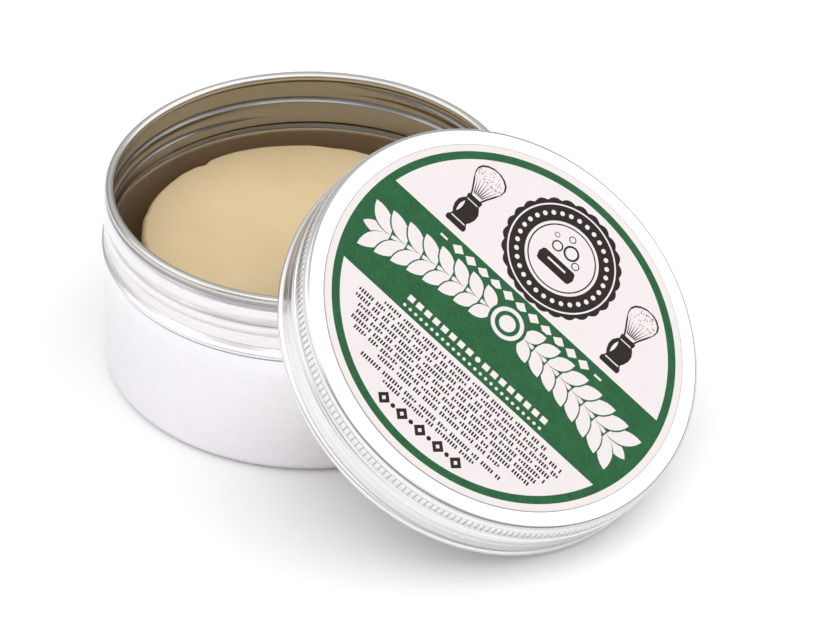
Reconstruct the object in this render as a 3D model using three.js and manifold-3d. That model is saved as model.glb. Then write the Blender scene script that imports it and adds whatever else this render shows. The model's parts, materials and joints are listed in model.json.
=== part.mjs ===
// A shaving soap puck in its round aluminium screw tin, with the lid off and leaning on the rim.
// Millimetres, +Z up. The origin is the centre of the tin's flat bottom, and the lid leans
// towards +X with its open side facing down over the tin's mouth.
import * as THREE from 'three';
import { mergeVertices } from 'three/addons/utils/BufferGeometryUtils.js';
import Module from 'manifold-3d';

const wasm = await Module();
wasm.setup();

// Driving dimensions
const SHEET = 0.6;               // thickness of the aluminium
const GAP = 0.3;                 // clearance between neighbouring pieces
const ROUND_STEPS = 64;          // facets in a full turn

const TIN_HEIGHT = 41.2;
const TIN_RADIUS = 41.5;         // plain wall, outside
const TIN_CORNER = 2.5;          // bottom corner
const NECK_RADIUS = 40.7;        // threaded neck, outside
const NECK_FOOT = 27.1;          // height of the step where the neck ends
const STEP_RADIUS = 41.9;        // rolled ridge just above the step
const RIM_BEAD = 0.95;           // section radius of the curled rim
const RIM_RADIUS = 41.0;         // outside of the curled rim

const LID_HEIGHT = 13.2;
const LID_RADIUS = 42.2;         // skirt, outside
const LID_SHOULDER = 1.2;        // rounding between the top plate and the skirt
const LID_BEAD = 0.9;            // section radius of the curled open edge
const LID_BEAD_RADIUS = 42.6;    // outside of that curl
const KNURL_TOP = 1.5;           // knurled grip band, measured down from the top plate
const KNURL_FOOT = 4.3;
const LEAN = THREE.MathUtils.degToRad(36.8);
const LEAN_REACH = 55.4;         // from the tin's axis to the middle of the leaning top plate

const THREAD_PITCH = 3.3;
const THREAD_DEPTH = 0.6;
const THREAD_FADE = 10;          // facets over which each end of a thread runs out
const TIN_THREAD_STEPS = 122;    // just under two turns, in facets
const TIN_THREAD_FOOT = 31.7;    // height where the tin's thread starts
const TIN_THREAD_START = THREE.MathUtils.degToRad(135);
const LID_THREAD_STEPS = 77;
const LID_THREAD_FOOT = 10.4;    // where the lid's thread starts, down from the top plate

const LINER_RADIUS = 40.6;
const LINER_THICKNESS = 2;
const LABEL_RADIUS = 38.5;
const LABEL_THICKNESS = 0.2;
const LABEL_GAP = 0.2;

const SOAP_RADIUS = 31.8;
const SOAP_HEIGHT = 24;
const SOAP_EDGE = 4;             // worn, rounded top edge
const SOAP_FOOT_EDGE = 1.5;
const SOAP_CENTRE = [-5.7, 2.0];

// Points of a circular arc in a profile, angles in degrees, both ends included.
function arc(centreRadius, centreHeight, radius, fromDegrees, toDegrees, steps) {
  const points = [];
  for (let i = 0; i <= steps; i++) {
    const angle = THREE.MathUtils.degToRad(fromDegrees + (toDegrees - fromDegrees) * i / steps);
    const r = centreRadius + radius * Math.cos(angle);
    const z = centreHeight + radius * Math.sin(angle);
    points.push([r, z]);
  }
  return points;
}

// Solid of revolution about +Z from a profile of [radius, height] points.
function turned(profile, steps = ROUND_STEPS) {
  const points = profile.map(([r, z]) => new THREE.Vector2(Math.max(r, 0), z));
  const geometry = new THREE.LatheGeometry(points, steps);
  geometry.rotateX(Math.PI / 2);
  return geometry;
}

// Rolled thread: a low closed ridge of four-cornered section that climbs about +Z, right-handed.
// Its crest is depth outside the base radius and its root lies inside it, or the other way
// round where both are negative.
function threadRidge({ baseRadius, depth, root, halfWidth, foot, start, steps }) {
  const positions = [];
  for (let i = 0; i <= steps; i++) {
    const angle = start + 2 * Math.PI * i / ROUND_STEPS;
    const climb = foot + THREAD_PITCH * i / ROUND_STEPS;
    const height = depth * Math.min(1, (Math.min(i, steps - i) + 1) / THREAD_FADE);
    const section = [
      [baseRadius - root, climb - halfWidth],
      [baseRadius + height, climb - halfWidth * 0.35],
      [baseRadius + height, climb + halfWidth * 0.35],
      [baseRadius - root, climb + halfWidth],
    ];
    for (const [r, z] of section) {
      positions.push(r * Math.cos(angle), r * Math.sin(angle), z);
    }
  }
  const indices = [];
  for (let i = 0; i < steps; i++) {
    for (let j = 0; j < 4; j++) {
      const a = i * 4 + j;
      const b = i * 4 + (j + 1) % 4;
      indices.push(a, a + 4, b, b, a + 4, b + 4);
    }
  }
  const last = steps * 4;
  indices.push(0, 1, 2, 0, 2, 3, last, last + 2, last + 1, last, last + 3, last + 2);
  const geometry = new THREE.BufferGeometry();
  geometry.setAttribute('position', new THREE.Float32BufferAttribute(positions, 3));
  geometry.setIndex(indices);
  if (depth < 0) geometry.index.array.reverse();       // a crest facing the axis turns the faces round
  return geometry;
}

function toSolid(geometry) {
  const bare = geometry.clone();
  bare.deleteAttribute('normal');
  bare.deleteAttribute('uv');
  const merged = mergeVertices(bare, 1e-4);
  return new wasm.Manifold(new wasm.Mesh({
    numProp: 3,
    vertProperties: new Float32Array(merged.getAttribute('position').array),
    triVerts: new Uint32Array(merged.getIndex().array),
  }));
}

function toGeometry(solid) {
  const mesh = solid.getMesh();
  const geometry = new THREE.BufferGeometry();
  geometry.setAttribute('position', new THREE.BufferAttribute(mesh.vertProperties, 3));
  geometry.setIndex(new THREE.BufferAttribute(mesh.triVerts, 1));
  geometry.computeVertexNormals();
  return geometry;
}

function piece(name, geometry, look) {
  const mesh = new THREE.Mesh(geometry, new THREE.MeshStandardMaterial(look));
  mesh.name = name;
  return mesh;
}

// The can: drawn sheet with a flat bottom, a stepped-in neck and a curled rim.
function tinProfile() {
  const wallInside = TIN_RADIUS - SHEET;
  const neckInside = NECK_RADIUS - SHEET;
  const rimCentre = RIM_RADIUS - RIM_BEAD;
  const rimHeight = TIN_HEIGHT - RIM_BEAD;
  return [
    [0, 0],
    ...arc(TIN_RADIUS - TIN_CORNER, TIN_CORNER, TIN_CORNER, -90, 0, 4),
    [TIN_RADIUS, NECK_FOOT - 0.2],
    [STEP_RADIUS, NECK_FOOT + 0.1],
    [STEP_RADIUS, NECK_FOOT + 1.1],
    [NECK_RADIUS, NECK_FOOT + 2.3],
    ...arc(rimCentre, rimHeight, RIM_BEAD, -47, 227, 8),
    [neckInside, NECK_FOOT + 2.3 - SHEET],
    [wallInside, NECK_FOOT + 0.6 - SHEET],
    ...arc(TIN_RADIUS - TIN_CORNER, TIN_CORNER, TIN_CORNER - SHEET, 0, -90, 3),
    [0, SHEET],
  ];
}

function tinBase() {
  const thread = { halfWidth: 1.35, foot: TIN_THREAD_FOOT, start: TIN_THREAD_START, steps: TIN_THREAD_STEPS };
  const ridge = threadRidge({ ...thread, baseRadius: NECK_RADIUS, depth: THREAD_DEPTH, root: SHEET / 3 });
  const groove = threadRidge({
    ...thread, baseRadius: NECK_RADIUS - SHEET, depth: THREAD_DEPTH - 0.1, root: SHEET, halfWidth: 1.1,
  });
  const solid = toSolid(turned(tinProfile())).add(toSolid(ridge)).subtract(toSolid(groove));
  return piece('tin_base', toGeometry(solid), { color: 0xd9d7da, roughness: 0.34, metalness: 1 });
}

// The lid, drawn in its own frame: the top plate lies at height 0 and the skirt hangs below it.
function lidProfile() {
  const plateEdge = LID_RADIUS - LID_SHOULDER;
  const skirtInside = LID_RADIUS - SHEET;
  const beadCentre = LID_BEAD_RADIUS - LID_BEAD;
  const beadHeight = LID_BEAD - LID_HEIGHT;
  return [
    [0, -SHEET],
    ...arc(plateEdge, -LID_SHOULDER, LID_SHOULDER - SHEET, 90, 0, 2),
    ...arc(beadCentre, beadHeight, LID_BEAD, 97, 407, 8),
    [LID_RADIUS, beadHeight + 1.2],
    [LID_RADIUS, -KNURL_FOOT - 1.7],
    [LID_RADIUS + 0.2, -KNURL_FOOT - 1.3],
    [LID_RADIUS, -KNURL_FOOT - 0.5],
    [LID_RADIUS - 0.15, -KNURL_FOOT],
    [LID_RADIUS + 0.1, -KNURL_FOOT + 0.3],
    [LID_RADIUS + 0.1, -KNURL_TOP],
    ...arc(plateEdge, -LID_SHOULDER, LID_SHOULDER, 0, 90, 3),
    [0, 0],
  ];
}

function lidShell() {
  const ridge = threadRidge({
    baseRadius: LID_RADIUS - SHEET, depth: -THREAD_DEPTH * 0.75, root: -SHEET / 3, halfWidth: 1,
    foot: -LID_THREAD_FOOT, start: 0, steps: LID_THREAD_STEPS,
  });
  const solid = toSolid(turned(lidProfile())).add(toSolid(ridge));
  return piece('lid_shell', toGeometry(solid), { color: 0xe6e4e2, roughness: 0.4, metalness: 1 });
}

// A plain round sheet between two heights.
function disc(radius, low, high) {
  return turned([[0, low], [radius, low], [radius, high], [0, high]]);
}

function lidLiner() {
  const top = -SHEET - GAP;
  return piece('lid_liner', disc(LINER_RADIUS, top - LINER_THICKNESS, top),
    { color: 0xf1eee6, roughness: 0.85, metalness: 0 });
}

function lidLabel() {
  return piece('lid_label', disc(LABEL_RADIUS, LABEL_GAP, LABEL_GAP + LABEL_THICKNESS),
    { color: 0xeee4e8, roughness: 0.6, metalness: 0 });
}

// The cast puck of soap, loose on the tin's floor, with its top edge worn round.
function soapPuck() {
  const top = SHEET + GAP + SOAP_HEIGHT;
  const foot = SHEET + GAP;
  const geometry = turned([
    [0, foot],
    ...arc(SOAP_RADIUS - SOAP_FOOT_EDGE, foot + SOAP_FOOT_EDGE, SOAP_FOOT_EDGE, -90, 0, 2),
    ...arc(SOAP_RADIUS - SOAP_EDGE, top - SOAP_EDGE, SOAP_EDGE, 0, 90, 4),
    [0, top],
  ], 48);
  const mesh = piece('soap_puck', geometry, { color: 0xe0c39a, roughness: 0.6, metalness: 0 });
  mesh.position.set(SOAP_CENTRE[0], SOAP_CENTRE[1], 0);
  return mesh;
}

// The lid leans outwards with the lowest point of its curled edge on the ground.
function leaningLid() {
  const group = new THREE.Group();
  const beadCentre = LID_BEAD_RADIUS - LID_BEAD;
  const height = LID_BEAD + (LID_HEIGHT - LID_BEAD) * Math.cos(LEAN) + beadCentre * Math.sin(LEAN);
  group.position.set(LEAN_REACH, 0, height);
  group.rotation.y = LEAN;
  group.add(lidShell(), lidLiner(), lidLabel());
  return group;
}

const object = new THREE.Group();
object.add(tinBase(), soapPuck(), leaningLid());
object.updateMatrixWorld(true);

export default object;
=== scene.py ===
"""A puck of shaving soap in its open aluminium screw tin, with the labelled lid leaning on the rim.

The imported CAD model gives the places: the lid's middle and axis are those of its turning joint,
and the puck's middle is its own joint's. The pieces here are finer skins of the CAD solids.
Profiles and label artwork are in millimetres and become metres where a mesh is made.
"""
import json
import math
import random

import bpy
import numpy as np
from mathutils import Matrix, Vector, noise
from mathutils.geometry import delaunay_2d_cdt


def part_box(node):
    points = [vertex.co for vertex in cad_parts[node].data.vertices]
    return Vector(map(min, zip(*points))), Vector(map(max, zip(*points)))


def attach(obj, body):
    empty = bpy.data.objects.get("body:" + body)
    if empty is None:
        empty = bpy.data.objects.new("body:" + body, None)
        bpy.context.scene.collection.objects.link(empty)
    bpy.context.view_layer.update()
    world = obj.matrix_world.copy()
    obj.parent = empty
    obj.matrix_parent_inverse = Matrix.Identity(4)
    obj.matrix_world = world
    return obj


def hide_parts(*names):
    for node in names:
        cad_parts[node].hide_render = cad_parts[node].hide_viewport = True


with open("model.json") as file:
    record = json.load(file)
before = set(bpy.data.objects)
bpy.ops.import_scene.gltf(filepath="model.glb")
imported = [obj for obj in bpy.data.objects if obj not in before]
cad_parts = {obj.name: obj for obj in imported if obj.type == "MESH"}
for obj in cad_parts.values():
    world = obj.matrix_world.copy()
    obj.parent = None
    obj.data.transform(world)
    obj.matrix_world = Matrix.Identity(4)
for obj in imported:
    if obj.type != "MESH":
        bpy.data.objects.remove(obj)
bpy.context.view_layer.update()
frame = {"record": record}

JOINTS = {joint["name"]: joint for joint in frame["record"]["behaviour"]["joints"]}

MM = 0.001
TURN = 2 * math.pi

# The tin, in millimetres
SHEET = 0.6
TIN_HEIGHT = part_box("tin_base")[1].z / MM
TIN_RADIUS = 41.5
TIN_CORNER = 2.5
NECK_RADIUS = 40.7
NECK_FOOT = 27.1
NECK_LOW = 29.4
NECK_HIGH = 39.4
RIM_BEAD = 0.95
RIM_RADIUS = 41.0
TIN_SEGMENTS = 288

# The rolled thread on the tin's neck
THREAD_PITCH = 3.3
THREAD_DEPTH = 0.62
THREAD_FADE = 0.14
THREAD_FOOT = 32.1
THREAD_START = math.radians(135)

# The lid, measured down from its top plate
LID_RADIUS = 42.2
LID_SHOULDER = 1.2
LID_BEAD = 0.9
LID_BEAD_RADIUS = 42.6
LID_HEIGHT = 13.2
KNURL_TOP = 1.6
KNURL_FOOT = 4.2
KNURL_COUNT = 215
KNURL_RADIUS = 42.05
KNURL_RISE = 0.28
LID_SEGMENTS = 288
LINER_RADIUS = 40.6
LINER_TOP = -0.9
LINER_FOOT = -2.9
LINER_SEGMENTS = 192

# The label, in its own right and up directions
LABEL_RADIUS = 38.5
LABEL_FOOT = 0.02
LABEL_TOP = 0.14
LABEL_TURN = math.radians(17.75)
PAPER, GREEN, DARK, LINE = range(4)
ARCH_TOP = 0.5
ARCH_DROP = 4.7
ARCH_HALF = 33
RING_OUTSIDE = 36.9
RING_INSIDE = 35.2
BAND_LOW = -13.8
BAND_HIGH = 7.6
BAND_RADIUS = 36.0

# The puck of soap
SOAP_RADIUS = 31.8
SOAP_FOOT = 0.75
SOAP_TOP = 25.9
SOAP_EDGE = 1.3
SOAP_CORNER = 1.5
SOAP_SEGMENTS = 240
NOTCH_AZIMUTH = math.radians(177)
NOTCH_DEPTH = 1.0
NOTCH_SPREAD = 0.045


def arc(centre, height, radius, first, last, steps):
    """Points on an arc of a profile, angles in degrees, both ends included."""
    angles = [math.radians(first + (last - first) * i / steps) for i in range(steps + 1)]
    return [(centre + radius * math.cos(a), height + radius * math.sin(a)) for a in angles]


def straight(start, end, steps):
    """Points along a straight stretch of a profile, both ends included."""
    start, end = np.array(start), np.array(end)
    return [tuple(start + (end - start) * i / steps) for i in range(steps + 1)]


def make_object(name, points, faces, materials, matrix=None, face_slots=None, smooth=True):
    """A mesh object from points in millimetres."""
    mesh = bpy.data.meshes.new(name)
    mesh.from_pydata([tuple(p) for p in np.asarray(points, dtype=float) * MM], [], faces)
    for material in materials:
        mesh.materials.append(material)
    if face_slots is not None:
        mesh.polygons.foreach_set("material_index", face_slots)
    mesh.polygons.foreach_set("use_smooth", [smooth] * len(mesh.polygons))
    mesh.update()
    obj = bpy.data.objects.new(name, mesh)
    if matrix is not None:
        obj.matrix_world = matrix
    bpy.context.scene.collection.objects.link(obj)
    return obj


def revolve(profile, segments, shift=None):
    """Points and faces of a profile turned about Z. The profile starts and ends on the axis.
    shift(radius, height, angle) returns the two as they really are at that angle."""
    angles = np.arange(segments) * TURN / segments
    points = [(0, 0, profile[0][1])]
    for radius, height in profile[1:-1]:
        radii, heights = np.full(segments, float(radius)), np.full(segments, float(height))
        if shift is not None:
            radii, heights = shift(radii, heights, angles)
        points.extend(zip(radii * np.cos(angles), radii * np.sin(angles), heights))
    points.append((0, 0, profile[-1][1]))
    faces = []
    rings = len(profile) - 2
    for j in range(segments):
        k = (j + 1) % segments
        faces.append((0, 1 + k, 1 + j))
        for i in range(rings - 1):
            low, high = 1 + i * segments, 1 + (i + 1) * segments
            faces.append((low + j, low + k, high + k, high + j))
        last = 1 + (rings - 1) * segments
        faces.append((last + j, last + k, len(points) - 1))
    return points, faces


def ring_slots(profile, segments, slot_by_ring):
    """Material slots for revolve's faces. finish(place, height) gives one for a ring of faces."""
    heights = [height for _, height in profile]
    slots = [slot_by_ring(i, (heights[i] + heights[i + 1]) / 2) for i in range(len(heights) - 1)]
    return slots * segments


# Materials

class Nodes:
    """A material's node tree, with short calls to add and join nodes."""

    def __init__(self, name):
        self.material = bpy.data.materials.new(name)
        self.material.use_nodes = True
        self.tree = self.material.node_tree
        self.shader = self.tree.nodes["Principled BSDF"]

    def add(self, kind, **settings):
        node = self.tree.nodes.new(kind)
        for key, value in settings.items():
            if hasattr(node, key):
                setattr(node, key, value)
            else:
                node.inputs[key].default_value = value
        return node

    def join(self, output, target):
        self.tree.links.new(output, target)

    def maths(self, operation, first, second=None):
        node = self.add("ShaderNodeMath", operation=operation)
        for socket, value in zip(node.inputs, (first, second)):
            if isinstance(value, bpy.types.NodeSocket):
                self.join(value, socket)
            elif value is not None:
                socket.default_value = value
        return node.outputs[0]

    def place(self):
        """The object's own coordinates as separate X, Y and Z sockets."""
        where = self.add("ShaderNodeTexCoord")
        split = self.add("ShaderNodeSeparateXYZ")
        self.join(where.outputs["Object"], split.inputs[0])
        return where.outputs["Object"], split.outputs

    def vector(self, x, y, z=0.0):
        node = self.add("ShaderNodeCombineXYZ")
        for socket, value in zip(node.inputs, (x, y, z)):
            if isinstance(value, bpy.types.NodeSocket):
                self.join(value, socket)
            else:
                socket.default_value = value
        return node.outputs[0]

    def noise(self, vector, scale, detail=3.0, roughness=0.5):
        node = self.add("ShaderNodeTexNoise", Scale=scale, Detail=detail, Roughness=roughness)
        self.join(vector, node.inputs["Vector"])
        return node.outputs["Fac"]

    def ramp(self, value, stops):
        node = self.add("ShaderNodeValToRGB")
        elements = node.color_ramp.elements
        while len(elements) < len(stops):
            elements.new(0.5)
        for element, (position, colour) in zip(elements, stops):
            element.position = position
            element.color = (*colour, 1) if len(colour) == 3 else colour
        self.join(value, node.inputs[0])
        return node.outputs[0]

    def blend(self, factor, first, second):
        node = self.add("ShaderNodeMix", data_type="RGBA")
        self.join(factor, node.inputs[0])
        for socket, value in ((node.inputs[6], first), (node.inputs[7], second)):
            if isinstance(value, bpy.types.NodeSocket):
                self.join(value, socket)
            else:
                socket.default_value = (*value, 1)
        return node.outputs[2]

    def bump(self, height, depth, strength=1.0, under=None):
        node = self.add("ShaderNodeBump", Strength=strength, Distance=depth * MM)
        self.join(height, node.inputs["Height"])
        if under is not None:
            self.join(under, node.inputs["Normal"])
        return node.outputs[0]


def grey(level):
    return (level, level, level)


RUBBED_METAL = (0.5, 0.45, 0.38)


def aluminium(name, colour, roughness, line_depth, scuff_low=None, scuff_high=None):
    """Rolled sheet with fine lines round the axis, and rubbed patches between two heights."""
    n = Nodes(name)
    where, (x, y, z) = n.place()
    angle = n.maths("ARCTAN2", y, x)
    squares = n.maths("ADD", n.maths("MULTIPLY", x, x), n.maths("MULTIPLY", y, y))
    radius = n.maths("POWER", squares, 0.5)
    round_lines = n.vector(n.maths("MULTIPLY", angle, 2.5), n.maths("MULTIPLY", z, 3800.0),
                           n.maths("MULTIPLY", radius, 1800.0))
    lines = n.noise(round_lines, 1.0, detail=4.0, roughness=0.65)
    clouds = n.noise(where, 90.0, detail=2.0)
    tone = n.blend(clouds, tuple(c * 0.97 for c in colour), colour)
    rough = n.ramp(lines, [(0.25, grey(roughness * 0.85)), (0.75, grey(roughness * 1.2))])
    normal = n.bump(lines, line_depth)
    if scuff_low is not None:
        along_rubs = n.vector(n.maths("MULTIPLY", angle, 9.0), n.maths("MULTIPLY", z, 4200.0))
        rub = n.noise(along_rubs, 1.0, 5.0, 0.7)
        worn = n.ramp(rub, [(0.44, grey(0.0)), (0.7, grey(1.0))])
        above = n.maths("GREATER_THAN", z, scuff_low * MM)
        below = n.maths("LESS_THAN", z, scuff_high * MM)
        amount = n.maths("MULTIPLY", n.maths("MULTIPLY", worn, n.maths("MULTIPLY", above, below)), 0.28)
        tone = n.blend(amount, tone, RUBBED_METAL)
        normal = n.bump(rub, line_depth * 0.6, under=normal)
    n.join(tone, n.shader.inputs["Base Color"])
    n.join(rough, n.shader.inputs["Roughness"])
    n.join(normal, n.shader.inputs["Normal"])
    n.shader.inputs["Metallic"].default_value = 1.0
    return n.material


def printed(name, colour, roughness, mottle):
    """Ink or bare coated paper, with the faint unevenness of print on fibre."""
    n = Nodes(name)
    where, _ = n.place()
    fibre = n.noise(where, 2600.0, detail=4.0, roughness=0.7)
    cloud = n.noise(where, 260.0, detail=2.0)
    darker = tuple(c * (1 - mottle) for c in colour)
    lighter = tuple(min(1, c * (1 + mottle)) for c in colour)
    unevenness = n.maths("ADD", n.maths("MULTIPLY", fibre, 0.75), n.maths("MULTIPLY", cloud, 0.25))
    shade = n.ramp(unevenness, [(0.3, darker), (0.7, lighter)])
    n.join(shade, n.shader.inputs["Base Color"])
    n.join(n.bump(fibre, 0.006), n.shader.inputs["Normal"])
    n.shader.inputs["Roughness"].default_value = roughness
    n.shader.inputs["Specular IOR Level"].default_value = 0.16
    return n.material


def foam():
    """Closed-cell foam with small round cells."""
    n = Nodes("liner_foam")
    where, _ = n.place()
    cells = n.add("ShaderNodeTexVoronoi", Scale=1500.0)
    n.join(where, cells.inputs["Vector"])
    n.join(n.ramp(cells.outputs["Distance"], [(0.0, (0.9, 0.88, 0.84)), (1.0, (0.78, 0.76, 0.72))]),
           n.shader.inputs["Base Color"])
    n.join(n.bump(cells.outputs["Distance"], 0.05), n.shader.inputs["Normal"])
    n.shader.inputs["Roughness"].default_value = 0.75
    return n.material


def soap():
    """Cream soap: waxy, slightly translucent, with faint clouds, streaks and pits."""
    n = Nodes("cream_soap")
    where, (x, y, z) = n.place()
    clouds = n.noise(where, 45.0, detail=4.0)
    streaks = n.noise(n.vector(n.maths("MULTIPLY", x, 60.0), n.maths("MULTIPLY", y, 320.0),
                               n.maths("MULTIPLY", z, 200.0)), 1.0, 4.0, 0.6)
    base = n.ramp(clouds, [(0.3, (0.67, 0.515, 0.295)), (0.7, (0.72, 0.56, 0.33))])
    n.join(n.blend(n.ramp(streaks, [(0.4, grey(0.0)), (0.75, grey(0.12))]), base, (0.78, 0.64, 0.44)),
           n.shader.inputs["Base Color"])
    pits = n.noise(where, 900.0, detail=3.0, roughness=0.6)
    grain = n.bump(n.ramp(pits, [(0.3, grey(0.0)), (0.42, grey(1.0))]), 0.05)
    n.join(n.bump(streaks, 0.06, under=grain), n.shader.inputs["Normal"])
    n.join(n.ramp(clouds, [(0.3, grey(0.5)), (0.7, grey(0.62))]), n.shader.inputs["Roughness"])
    n.shader.inputs["Subsurface Weight"].default_value = 0.25
    n.shader.inputs["Subsurface Radius"].default_value = (0.004, 0.0025, 0.0012)
    n.shader.inputs["Subsurface Scale"].default_value = 0.6
    return n.material


def white_floor():
    """Matte white sweep under the object."""
    n = Nodes("floor_white")
    where, _ = n.place()
    n.join(n.ramp(n.noise(where, 3.0), [(0.3, grey(0.96)), (0.7, grey(0.98))]), n.shader.inputs["Base Color"])
    n.shader.inputs["Roughness"].default_value = 0.9
    n.shader.inputs["Specular IOR Level"].default_value = 0.1
    return n.material


# The tin

def thread_wave(phase):
    """One rolled ridge, half a pitch to each side of its crest."""
    return 1 - np.clip(np.abs(2 * phase), 0, 1) ** 2.2


def thread_rise(heights, angles):
    """How far the rolled thread stands out of the neck. One ridge climbs round the neck and runs
    into the full band under the rim, and both its ends fade out where the turn begins."""
    turned = np.mod(angles - THREAD_START, TURN) / TURN
    phase = (heights - THREAD_FOOT) / THREAD_PITCH - turned
    lower = np.clip(turned / THREAD_FADE, 0, 1) * thread_wave(phase)
    upper = np.where(phase > 1, 1, thread_wave(phase - 1))
    closing = 1 - np.clip((1 - turned) / THREAD_FADE, 0, 1)
    upper = np.where(phase > 0, np.maximum(upper, closing), upper)
    ends = np.clip((heights - NECK_LOW) / 0.8, 0, 1) * np.clip((NECK_HIGH - heights) / 1.1, 0, 1)
    return THREAD_DEPTH * np.maximum(lower, upper) * ends ** 0.7


def tin_shift(radii, heights, angles):
    in_neck = (heights > NECK_LOW) & (heights < NECK_HIGH) & (radii > NECK_RADIUS - SHEET - 0.01)
    return radii + np.where(in_neck, thread_rise(heights, angles), 0), heights


def tin_profile():
    wall_inside = TIN_RADIUS - SHEET
    neck_inside = NECK_RADIUS - SHEET
    return [
        (0, 0), (20, 0),
        *arc(TIN_RADIUS - TIN_CORNER, TIN_CORNER, TIN_CORNER, -90, 0, 10),
        *straight((TIN_RADIUS, 4), (TIN_RADIUS, NECK_FOOT - 0.2), 6),
        (TIN_RADIUS - 0.08, NECK_FOOT),
        *arc(TIN_RADIUS - 0.22, NECK_FOOT + 0.68, 0.62, -70, 78, 8),
        (TIN_RADIUS - 0.3, NECK_FOOT + 1.7), (NECK_RADIUS + 0.12, NECK_LOW - 0.2),
        *straight((NECK_RADIUS, NECK_LOW), (NECK_RADIUS, NECK_HIGH), 72),
        *arc(RIM_RADIUS - RIM_BEAD, TIN_HEIGHT - RIM_BEAD, RIM_BEAD, -44, 224, 22),
        *straight((neck_inside, NECK_HIGH - 0.05), (neck_inside, NECK_LOW - 0.4), 72),
        (TIN_RADIUS - 0.32, NECK_FOOT + 1.2), (TIN_RADIUS - 0.18, NECK_FOOT + 0.85),
        (TIN_RADIUS - 0.18, NECK_FOOT + 0.55), (TIN_RADIUS - 0.3, NECK_FOOT + 0.2),
        (wall_inside, NECK_FOOT - 0.2),
        *straight((wall_inside, NECK_FOOT - 1), (wall_inside, TIN_CORNER), 5)[:-1],
        *arc(TIN_RADIUS - TIN_CORNER, TIN_CORNER, TIN_CORNER - SHEET, 0, -90, 8),
        (20, SHEET), (0, SHEET),
    ]


def build_tin():
    profile = tin_profile()
    points, faces = revolve(profile, TIN_SEGMENTS, tin_shift)
    outside = aluminium("tin_aluminium", (0.87, 0.845, 0.88), 0.29, 0.01, NECK_FOOT + 1, NECK_HIGH)
    # The inside wall: darker, browner metal than the outside, a painted dark reflection and shade of the
    # tin's inside.
    inside = aluminium("inner_wall_aluminium_painted_dark_reflection", (0.74, 0.66, 0.56), 0.4, 0.008)
    # The inside of the neck: much darker metal, a painted dark reflection of the tin's shaded inside.
    inner_neck_dark_reflection = aluminium("inner_neck_aluminium_painted_dark_reflection", (0.34, 0.33, 0.315), 0.24, 0.006)
    # The rolled rim: greyer, darker metal than the outside wall, a painted dark reflection.
    rim = aluminium("rim_aluminium_painted_dark_reflection", (0.6, 0.585, 0.565), 0.22, 0.004)
    # The groove at the neck's foot and the band just under the rim: dark metal, painted shade in these
    # recesses.
    groove_shade = aluminium("groove_aluminium_painted_shade", (0.36, 0.35, 0.36), 0.4, 0.004)
    crown = max(range(len(profile)), key=lambda i: profile[i][1])

    # Slot 0 is the plain outside. Slots 1 to 4 (inside wall, rim, inside neck, grooves) are darker metal that
    # paints in shade and dark reflection.
    def slot_by_ring(place, height):
        if height > NECK_HIGH:
            return 2
        if place >= crown:
            return 1 if height < NECK_FOOT - 0.5 else 3
        return 4 if abs(height - NECK_FOOT) < 0.12 or height > NECK_HIGH - 0.3 else 0

    tin = make_object("tin_skin", points, faces, [outside, inside, rim, inner_neck_dark_reflection, groove_shade],
                      face_slots=ring_slots(profile, TIN_SEGMENTS, slot_by_ring))
    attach(tin, "tin")
    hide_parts("tin_base")


# The lid

def lid_matrix():
    """The lid's own frame: X down the slope of its top plate, Z out of it."""
    turn = JOINTS["lid_turn"]
    out = Vector(turn["axis"]).normalized()
    across = Vector((0, 1, 0))
    matrix = Matrix((across.cross(out), across, out)).transposed().to_4x4()
    matrix.translation = Vector(turn["pos_m"])
    return matrix


def lid_profile():
    plate_edge = LID_RADIUS - LID_SHOULDER
    bead = (LID_BEAD_RADIUS - LID_BEAD, LID_BEAD - LID_HEIGHT)
    inside = LID_RADIUS - SHEET
    return [
        (0, -SHEET), (20, -SHEET),
        *arc(plate_edge, -LID_SHOULDER, LID_SHOULDER - SHEET, 90, 0, 4),
        *straight((inside, -2.2), (inside, -11.2), 4),
        *arc(*bead, LID_BEAD, 105, 435, 26),
        (LID_RADIUS - 0.42, -11.35), (LID_RADIUS - 0.3, -11.2), (LID_RADIUS - 0.08, -10.95),
        *straight((LID_RADIUS, -10.7), (LID_RADIUS, -9.1), 3),
        (LID_RADIUS + 0.05, -8.8), (LID_RADIUS + 0.06, -8.6), (LID_RADIUS + 0.02, -8.35),
        *straight((LID_RADIUS - 0.04, -8.1), (LID_RADIUS - 0.02, -6.75), 3),
        (LID_RADIUS - 0.1, -6.5), (LID_RADIUS - 0.4, -6.2), (LID_RADIUS - 0.36, -6.0),
        *arc(LID_RADIUS - 0.22, -5.35, 0.5, -60, 62, 6),
        (LID_RADIUS - 0.02, -4.75), (LID_RADIUS - 0.02, -4.5),
        (LID_RADIUS + 0.02, -KNURL_FOOT - 0.12), (KNURL_RADIUS, -KNURL_FOOT),
        *straight((KNURL_RADIUS, -KNURL_FOOT + 0.15), (KNURL_RADIUS, -KNURL_TOP - 0.1), 3),
        (LID_RADIUS + 0.05, -KNURL_TOP), (LID_RADIUS + 0.07, -KNURL_TOP + 0.2),
        *arc(plate_edge, -LID_SHOULDER, LID_SHOULDER, 0, 90, 12),
        (39, 0), (20, 0), (0, 0),
    ]


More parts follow.
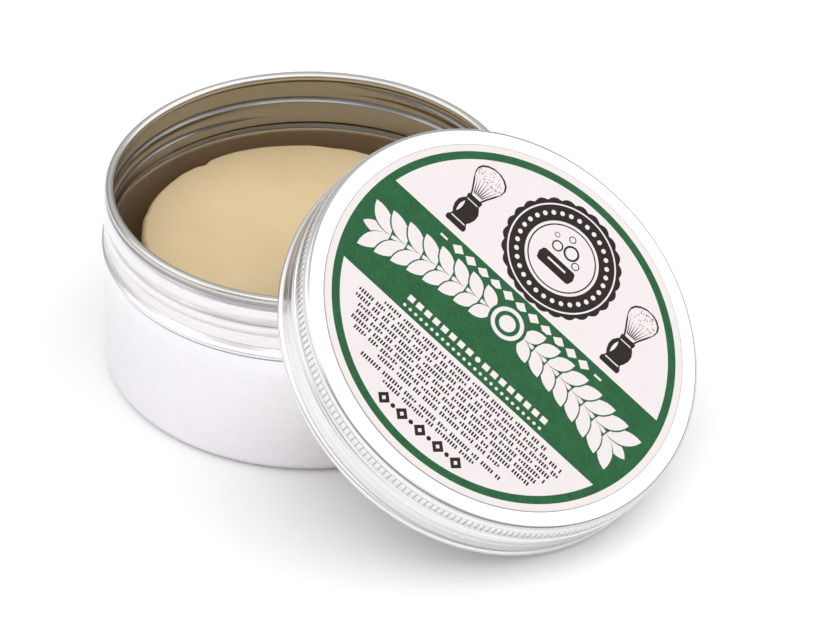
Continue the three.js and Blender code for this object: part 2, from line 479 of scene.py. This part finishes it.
def knurl_band():
    """Points and faces of the grip: a closed ring whose outside is cut into fine upright ridges."""
    steps = 8
    count = KNURL_COUNT * steps
    angles = np.arange(count) * TURN / count
    across = np.mod(np.arange(count), steps) / steps * 2 - 1
    ridge = 1 - np.abs(across) ** 6
    top, foot = -KNURL_TOP - 0.02, -KNURL_FOOT + 0.04
    height = top - foot
    stations = [(0, -1), (0, 0), (0.05, 0.7), (0.14, 1), (0.5, 1), (0.86, 1), (0.95, 0.7), (1, 0), (1, -1)]
    points, faces, slots = [], [], []
    for along, fullness in stations:
        if fullness < 0:
            radii = np.full(count, KNURL_RADIUS - 0.25)
        else:
            radii = KNURL_RADIUS - 0.03 + (KNURL_RISE + 0.03) * ridge * fullness
        heights = np.full(count, foot + height * along)
        points.extend(zip(radii * np.cos(angles), radii * np.sin(angles), heights))
    for i in range(len(stations)):
        low, high = i * count, (i + 1) % len(stations) * count
        for j in range(count):
            k = (j + 1) % count
            faces.append((low + j, low + k, high + k, high + j))
            # The faces down into each slit take slot 1, the darker metal: painted shade in the slits.
            slots.append(1 if j % steps in (0, steps - 1) else 0)
    return points, faces, slots


def build_lid(matrix):
    satin = aluminium("lid_aluminium", (0.83, 0.81, 0.825), 0.28, 0.008)
    # Darker metal for the knurl's slits and the two grooves on the skirt: painted shade in these recesses.
    slit_shade = aluminium("lid_groove_aluminium_painted_shade", (0.52, 0.5, 0.52), 0.4, 0.004)
    # Darker metal on the rounded shoulder under the top plate: a painted grey line of shade.
    shoulder_shade = aluminium("lid_shoulder_aluminium_painted_shade", (0.64, 0.63, 0.64), 0.2, 0.003)
    profile = lid_profile()
    lowest = min(range(len(profile)), key=lambda i: profile[i][1])

    # Slot 0 is the plain metal, 2 the darker shoulder band under the plate, and 1 the darker metal in the two
    # skirt grooves: painted shade.
    def slot_by_ring(place, height):
        if place < lowest:
            return 0
        if -0.6 < height < -0.04:
            return 2
        return 1 if -6.35 < height < -6.05 or -11.42 < height < -11.0 else 0

    points, faces = revolve(profile, LID_SEGMENTS)
    slots = ring_slots(profile, LID_SEGMENTS, slot_by_ring)
    ridge_points, ridge_faces, ridge_slots = knurl_band()
    start = len(points)
    points = points + ridge_points
    faces = faces + [tuple(start + i for i in face) for face in ridge_faces]
    shell = make_object("lid_skin", points, faces, [satin, slit_shade, shoulder_shade], matrix, slots + ridge_slots)
    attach(shell, "lid")
    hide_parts("lid_shell")


def build_liner(matrix):
    edge = 0.4
    rim = LINER_RADIUS - edge
    profile = [(0, LINER_FOOT), (30, LINER_FOOT), *arc(rim, LINER_FOOT + edge, edge, -90, 0, 5),
               *arc(rim, LINER_TOP - edge, edge, 0, 90, 5), (30, LINER_TOP), (0, LINER_TOP)]
    points, faces = revolve(profile, LINER_SEGMENTS)
    liner = make_object("liner_foam_disc", points, faces, [foam()], matrix)
    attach(liner, "liner")
    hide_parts("lid_liner")


# Label artwork: flat outlines, painted in order, each over the ones before it

def circle(a, b, radius, count=48):
    angles = [TURN * i / count for i in range(count)]
    return [(a + radius * math.cos(angle), b + radius * math.sin(angle)) for angle in angles]


def bar(a, b, width, height):
    return [(a - width / 2, b - height / 2), (a + width / 2, b - height / 2),
            (a + width / 2, b + height / 2), (a - width / 2, b + height / 2)]


def lozenge(a, b, width, height):
    return [(a - width / 2, b), (a, b - height / 2), (a + width / 2, b), (a, b + height / 2)]


def leaf(a, b, length, width, angle):
    """A pointed leaf that starts at (a, b)."""
    along = np.array((math.cos(angle), math.sin(angle)))
    across = np.array((-math.sin(angle), math.cos(angle)))
    steps = 8
    edge = [(t, math.sin(math.pi * t) ** 0.8 * width / 2) for t in (i / steps for i in range(steps + 1))]
    outline = [(t, -half) for t, half in edge] + [(t, half) for t, half in reversed(edge[1:-1])]
    return [tuple(np.array((a, b)) + along * t * length + across * half) for t, half in outline]


def symmetric(a, b, halves):
    """An outline from half widths at rising heights, mirrored about a vertical line through a."""
    right = [(a + half, b + rise) for rise, half in halves]
    left = [(a - half, b + rise) for rise, half in reversed(halves)]
    return right + left


def band_outline(low, high, radius):
    """The part of a disc between two heights, with its curved ends."""
    outline = []
    for first, last in ((math.asin(low / radius), math.asin(high / radius)),
                        (math.pi - math.asin(high / radius), math.pi - math.asin(low / radius))):
        outline += [(radius * math.cos(first + (last - first) * i / 12),
                     radius * math.sin(first + (last - first) * i / 12)) for i in range(13)]
    return outline


def arch(a):
    """Height of the garland's middle line: it bows upwards."""
    return ARCH_TOP - ARCH_DROP * (a / ARCH_HALF) ** 2


def arch_slope(a):
    """Direction of the garland's middle line, heading away from its middle."""
    slope = math.atan(-2 * ARCH_DROP * a / ARCH_HALF ** 2)
    return slope if a > 0 else slope + math.pi


def garland():
    """A leafy spray that spreads both ways from the middle of the green band."""
    shapes = []
    spots = [-31.5 + 63 * i / 30 for i in range(31)]
    stem = [(a, arch(a) - 0.42) for a in spots] + [(a, arch(a) + 0.42) for a in reversed(spots)]
    shapes.append((PAPER, stem))
    for side in (-1, 1):
        tip = side * 29.3
        shapes.append((PAPER, leaf(tip, arch(tip), 5.0, 2.5, arch_slope(tip))))
        for i in reversed(range(8)):
            a = side * (3.4 + 3.5 * i)
            for lean in (-0.8, 0.8):
                way = arch_slope(a) + lean
                shapes.append((GREEN, leaf(a, arch(a), 6.3 + 0.32 * i, 3.9 + 0.06 * i, way)))
                shapes.append((PAPER, leaf(a + 0.3 * side, arch(a), 5.5 + 0.32 * i, 2.9 + 0.06 * i, way)))
    for ink, radius in ((GREEN, 4.3), (PAPER, 3.6), (GREEN, 2.7), (PAPER, 1.8)):
        shapes.append((ink, circle(0, arch(0), radius)))
    return shapes


def dark_rows(draw):
    """Plain dark ticks in groups, standing in for the fine print."""
    shapes = []
    rows = [(-15.3, 21), (-16.75, 26), (-18.2, 26), (-19.65, 25), (-21.1, 24.6), (-22.55, 24), (-24.0, 22.5),
            (-25.45, 16), (-27.5, 18), (-28.9, 12)]
    for b, half in rows:
        a = -half + draw.random()
        while a < half:
            for _ in range(draw.randint(3, 9)):
                if a < half:
                    shapes.append((DARK, bar(a, b, 0.36, 0.95 if draw.random() < 0.75 else 0.6)))
                a += 0.62
            a += 0.6
    return shapes


def white_rows():
    """The two rows of white marks above and below the garland."""
    shapes = [(PAPER, lozenge(-16.5 + 3.3 * i, 5.6, 2.9, 2.3)) for i in range(11)]
    shapes += [(PAPER, bar(side * 20.2, 5.6, 1.8, 0.5)) for side in (-1, 1)]
    shapes += [(PAPER, bar(-17.2 + 2.15 * i, -10.5, 1.45, 1.35)) for i in range(17) if i != 8]
    shapes += [(PAPER, circle(0, -10.5, 0.6, 20))]
    shapes += [(PAPER, circle(-17.5 + 1.4 * i, -12.55, 0.36, 12)) for i in range(26)]
    return shapes


def brush_icon(a, b, draw):
    """A shaving brush: dark turned handle, light knot drawn with an outline, hairs and flecks."""
    handle = [(0, 2.1), (0.3, 2.4), (1.0, 2.45), (1.6, 2.0), (2.1, 1.85), (2.9, 2.3), (4.1, 2.65), (5.4, 2.6),
              (6.4, 2.1), (7.0, 1.6), (7.4, 1.75), (8.2, 1.75)]
    knot = [(8.0, 1.35), (9.4, 1.9), (11.2, 2.8), (13.0, 3.5), (14.2, 3.65), (15.3, 3.2), (16.1, 2.2),
            (16.6, 0.9)]
    inner = [(rise + 0.25 if rise < 12 else rise - 0.3, half - 0.3) for rise, half in knot]
    shapes = [(DARK, symmetric(a, b, knot)), (PAPER, symmetric(a, b, inner)), (DARK, symmetric(a, b, handle))]
    shapes += [(PAPER, bar(a, b + 1.55, 3.4, 0.28)), (PAPER, bar(a, b + 6.95, 2.6, 0.24))]
    shapes.append((PAPER, leaf(a - 1.45, b + 2.9, 3.2, 0.7, math.radians(88))))
    for i in range(7):
        spread = (i - 3) / 3
        reach = 3.4 + 1.3 * draw.random()
        foot = (a + spread * 0.95, b + 8.9)
        tip = (foot[0] + spread * reach * 0.42, foot[1] + reach)
        shapes.append((DARK, [(foot[0] - 0.14, foot[1]), (foot[0] + 0.14, foot[1]), tip]))
    for _ in range(34):
        rise = 12.6 + 3.2 * draw.random()
        half = (3.1 if rise < 15 else 2.0) * (2 * draw.random() - 1)
        shapes.append((DARK, circle(a + half, b + rise, 0.13, 6)))
    return shapes


def emblem(a, b):
    """A scalloped seal with a ring of dots, a soap bar and bubbles."""
    scallops, steps = 26, 260
    edge = []
    for i in range(steps):
        angle = TURN * i / steps
        radius = 12.6 + 0.55 * abs(math.sin(scallops * angle / 2))
        edge.append((a + radius * math.cos(angle), b + radius * math.sin(angle)))
    shapes = [(DARK, edge), (PAPER, circle(a, b, 11.9, 96)), (DARK, circle(a, b, 11.55, 96))]
    for i in range(32):
        angle = TURN * i / 32
        shapes.append((PAPER, circle(a + 9.85 * math.cos(angle), b + 9.85 * math.sin(angle), 0.52, 14)))
    shapes += [(PAPER, circle(a, b, 8.1, 96)), (DARK, circle(a, b, 7.5, 96)), (PAPER, circle(a, b, 7.2, 96))]
    bar_halves = [(-1.6, 3.6), (-1.35, 4.1), (0, 4.5), (1.35, 4.1), (1.6, 3.6)]
    shapes += [(DARK, symmetric(a, b - 2.3, bar_halves)), (PAPER, bar(a, b - 2.0, 4.6, 0.45))]
    bubbles = [(-2.2, 1.6, 1.25), (0.9, 2.4, 1.75), (3.1, 0.7, 0.9), (-0.6, 5.1, 0.8), (-3.6, 3.6, 0.6)]
    for right, up, radius in bubbles:
        shapes.append((DARK, circle(a + right, b + up, radius, 28)))
        shapes.append((PAPER, circle(a + right, b + up, radius * 0.74, 28)))
    return shapes


def foot_mark():
    """The row of dark marks along the lower edge."""
    shapes = []
    for i in range(9):
        a = -9.2 + 2.3 * i
        if i % 2:
            shapes.append((DARK, circle(a, -31.6, 0.5, 20)))
        else:
            shapes += [(DARK, lozenge(a, -31.6, 3.0, 3.2)), (PAPER, lozenge(a, -31.6, 1.0, 1.1))]
    return shapes


def label_shapes():
    draw = random.Random(11)
    shapes = [(LINE, circle(0, 0, LABEL_RADIUS, 240)), (PAPER, circle(0, 0, LABEL_RADIUS - 0.16, 240)),
              (GREEN, circle(0, 0, RING_OUTSIDE, 240)), (PAPER, circle(0, 0, RING_INSIDE, 240))]
    shapes.append((GREEN, band_outline(BAND_LOW, BAND_HIGH, BAND_RADIUS)))
    shapes += white_rows() + garland() + dark_rows(draw)
    shapes += brush_icon(-20.3, 9.3, draw) + brush_icon(20.3, 9.3, draw)
    return shapes + emblem(0.1, 20.9) + foot_mark()


def build_label(matrix):
    """One thin sheet, its top cut along the artwork's outlines so that each face takes one ink."""
    shapes = label_shapes()
    corners, outlines = [], []
    for _, outline in shapes:
        outlines.append(list(range(len(corners), len(corners) + len(outline))))
        corners += [Vector(corner) for corner in outline]
    flat, _, faces, origins, _, covers = delaunay_2d_cdt(corners, [], outlines, 1, 1e-5, True)
    slots = [shapes[max(cover)][0] for cover in covers]
    points = [(p.x, p.y, LABEL_TOP) for p in flat]
    top_edge = {origin: i for i, origin_list in enumerate(origins) for origin in origin_list}
    rim = [top_edge[i] for i in outlines[0]]
    foot = len(points)
    points += [(flat[i].x, flat[i].y, LABEL_FOOT) for i in rim]
    count = len(rim)
    for j in range(count):
        k = (j + 1) % count
        faces.append((foot + j, foot + k, rim[k], rim[j]))
        slots.append(LINE)
    faces.append(tuple(foot + j for j in reversed(range(count))))
    slots.append(PAPER)
    inks = [printed("label_paper", (0.755, 0.7, 0.7), 0.6, 0.03),
            printed("label_green", (0.018, 0.105, 0.038), 0.6, 0.4),
            printed("label_dark", (0.02, 0.013, 0.012), 0.6, 0.2),
            printed("label_cut_edge", (0.42, 0.4, 0.38), 0.6, 0.05)]
    turned = [Matrix.Rotation(LABEL_TURN, 3, "Z") @ Vector(point) for point in points]
    label = make_object("label_sheet", turned, faces, inks, matrix, slots, smooth=False)
    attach(label, "lid")
    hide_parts("lid_label")


# The soap

def soap_shift(radii, heights, angles):
    """A hand-worn puck: a slightly uneven edge, one small notch, and a softly rolling top."""
    fullness = radii / SOAP_RADIUS
    wobble = np.array([noise.noise(Vector((math.cos(a) * 1.7, math.sin(a) * 1.7, 3.1))) for a in angles])
    off_notch = np.mod(angles - NOTCH_AZIMUTH + math.pi, TURN) - math.pi
    notch = NOTCH_DEPTH * np.exp(-(off_notch / NOTCH_SPREAD) ** 2)
    chips = np.array([noise.noise(Vector((math.cos(a) * 9, math.sin(a) * 9, 0.7))) for a in angles])
    new_radii = radii - fullness ** 6 * (0.35 * np.abs(wobble) + 0.22 * np.abs(chips) + notch)
    spots = [Vector((r * math.cos(a), r * math.sin(a), 0)) for r, a in zip(radii, angles)]
    roll = np.array([0.35 * noise.noise(spot * 0.06) + 0.12 * noise.noise(spot * 0.25) for spot in spots])
    return new_radii, heights + np.where(heights > SOAP_TOP - SOAP_EDGE, roll - 0.2, 0)


def build_soap():
    body = SOAP_RADIUS - SOAP_EDGE
    profile = [(0, SOAP_FOOT), (15, SOAP_FOOT),
               *arc(SOAP_RADIUS - SOAP_CORNER, SOAP_FOOT + SOAP_CORNER, SOAP_CORNER, -90, 0, 5),
               *straight((SOAP_RADIUS, 4), (SOAP_RADIUS, SOAP_TOP - SOAP_EDGE - 0.5), 8),
               *arc(body, SOAP_TOP - SOAP_EDGE, SOAP_EDGE, 0, 90, 12),
               *straight((body - 1, SOAP_TOP), (1, SOAP_TOP), 26), (0, SOAP_TOP)]
    points, faces = revolve(profile, SOAP_SEGMENTS, soap_shift)
    centre = Vector(JOINTS["soap_turn"]["pos_m"])
    puck = make_object("soap_cake", points, faces, [soap()], Matrix.Translation((centre.x, centre.y, 0)))
    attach(puck, "soap")
    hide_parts("soap_puck")


# The set

# The camera, with distances in metres
VIEW_AZIMUTH = math.radians(45.80)
VIEW_ELEVATION = math.radians(35.57)
VIEW_ROLL = math.radians(1.31)
VIEW_DISTANCE = 0.9891
LOOK_AT = Vector((0.02722, 0.00199, 0.02382))
LENS = 219.1

# The floor, in millimetres, and the room's brightness by the upward part of the direction
FLOOR_HALF = 3000.0
FLOOR_HEIGHT = -0.05
ROOM_LIGHT = [(0.14, 0.66), (0.2, 0.24), (0.3, 0.3), (0.5, 0.8)]

# The point that the softboxes face, in metres
LIT_POINT = Vector((0.02, 0, 0.03))


def direction(azimuth, elevation):
    return Vector((math.sin(azimuth) * math.cos(elevation), -math.cos(azimuth) * math.cos(elevation),
                   math.sin(elevation)))


def add_camera():
    camera = bpy.data.objects.new("camera", bpy.data.cameras.new("camera"))
    bpy.context.scene.collection.objects.link(camera)
    back = direction(VIEW_AZIMUTH, VIEW_ELEVATION)
    camera.data.lens = LENS
    camera.data.clip_start = 0.01
    right = Vector((0, 0, 1)).cross(back).normalized()
    level = Matrix((right, back.cross(right), back)).transposed()
    camera.matrix_world = Matrix.Translation(LOOK_AT + back * VIEW_DISTANCE) @ (
        level @ Matrix.Rotation(VIEW_ROLL, 3, "Z")).to_4x4()
    bpy.context.scene.camera = camera


def add_softbox(name, azimuth_offset, elevation, distance, size, power):
    """A square area light that faces the object, placed by its angle from the camera's side."""
    light = bpy.data.lights.new(name, "AREA")
    light.size = size
    light.energy = power
    lamp = bpy.data.objects.new(name, light)
    way = direction(VIEW_AZIMUTH + math.radians(azimuth_offset), math.radians(elevation))
    lamp.location = LIT_POINT + way * distance
    lamp.rotation_mode = "QUATERNION"
    lamp.rotation_quaternion = way.to_track_quat("Z", "Y")
    bpy.context.scene.collection.objects.link(lamp)


def add_room():
    """The room's own light: pale walls low down, a dim band above them, and a light ceiling."""
    world = bpy.data.worlds.new("studio")
    world.use_nodes = True
    tree = world.node_tree
    where = tree.nodes.new("ShaderNodeTexCoord")
    split = tree.nodes.new("ShaderNodeSeparateXYZ")
    ramp = tree.nodes.new("ShaderNodeValToRGB")
    tree.links.new(where.outputs["Generated"], split.inputs[0])
    tree.links.new(split.outputs["Z"], ramp.inputs[0])
    tree.links.new(ramp.outputs[0], tree.nodes["Background"].inputs["Color"])
    elements = ramp.color_ramp.elements
    while len(elements) < len(ROOM_LIGHT):
        elements.new(0.5)
    for element, (height, level) in zip(elements, ROOM_LIGHT):
        element.position = height
        element.color = (level, level, level, 1)
    bpy.context.scene.world = world


def add_set():
    edge, height = FLOOR_HALF, FLOOR_HEIGHT
    corners = [(-edge, -edge, height), (edge, -edge, height), (edge, edge, height), (-edge, edge, height)]
    floor = make_object("floor", corners, [(0, 1, 2, 3)], [white_floor()])
    add_room()
    bpy.context.scene.view_settings.view_transform = "Standard"
    add_softbox("front", azimuth_offset=5, elevation=58, distance=1.2, size=1.2, power=4.0)
    add_softbox("right_side", azimuth_offset=100, elevation=45, distance=0.75, size=0.9, power=2.4)
    add_softbox("left_side", azimuth_offset=-85, elevation=40, distance=1.1, size=1.1, power=3.2)


lid_frame = lid_matrix()
build_tin()
build_lid(lid_frame)
build_liner(lid_frame)
build_label(lid_frame)
build_soap()
add_camera()
add_set()
